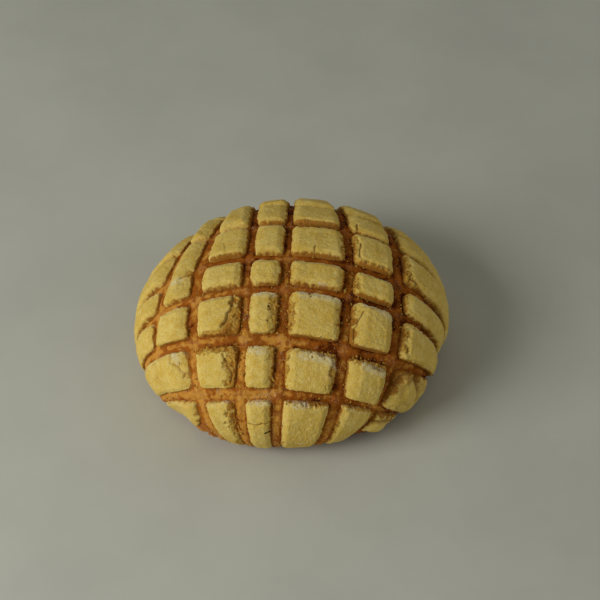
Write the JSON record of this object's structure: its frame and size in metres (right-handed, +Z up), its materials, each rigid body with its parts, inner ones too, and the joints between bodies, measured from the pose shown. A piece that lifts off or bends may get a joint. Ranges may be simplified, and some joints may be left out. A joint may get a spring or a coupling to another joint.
{
  "type": "concha sweet roll",
  "caption": "Domed sweet roll with a yellow sugar-paste shell scored into a grid of raised tiles over golden-brown crust.",
  "frame": {"origin": "on the floor under the middle of the roll", "axes": "+Z up; +Y away from the pictured side; +X to its right, near the roll's longer width"},
  "size_m": [0.1166, 0.1074, 0.0501],
  "materials": {
    "crust": "baked enriched bread, golden to red-brown, faintly glossy",
    "paste": "dry yellow sugar paste, matt and finely grained"
  },
  "bodies": {
    "root": {"bun": "crust", "paste_c0_r0": "paste", "paste_c0_r1": "paste", "paste_c0_r2": "paste", "paste_c0_r3": "paste", "paste_c0_r4": "paste", "paste_c0_r5": "paste", "paste_c0_r6": "paste", "paste_c1_r2": "paste", "paste_c1_r3": "paste", "paste_c1_r5": "paste", "paste_c1_r6": "paste", "paste_c1_r7": "paste", "paste_c2_r0": "paste", "paste_c2_r1": "paste", "paste_c2_r2": "paste", "paste_c2_r3": "paste", "paste_c2_r4": "paste", "paste_c2_r5": "paste", "paste_c2_r6": "paste", "paste_c2_r7": "paste", "paste_c3_r0": "paste", "paste_c3_r1": "paste", "paste_c3_r2": "paste", "paste_c3_r3": "paste", "paste_c3_r4": "paste", "paste_c3_r5": "paste", "paste_c3_r6": "paste", "paste_c3_r7": "paste", "paste_c4_r0": "paste", "paste_c4_r1": "paste", "paste_c4_r2": "paste", "paste_c4_r3": "paste", "paste_c4_r4": "paste", "paste_c4_r5": "paste", "paste_c4_r6": "paste", "paste_c4_r7": "paste", "paste_c5_r0": "paste", "paste_c5_r1": "paste", "paste_c5_r2": "paste", "paste_c5_r3": "paste", "paste_c5_r4": "paste", "paste_c5_r5": "paste", "paste_c5_r6": "paste", "paste_c5_r7": "paste", "paste_c6_r0": "paste", "paste_c6_r1": "paste", "paste_c6_r2": "paste", "paste_c6_r3": "paste", "paste_c6_r4": "paste", "paste_c6_r5": "paste", "paste_c6_r6": "paste"}
  },
  "joints": []
}
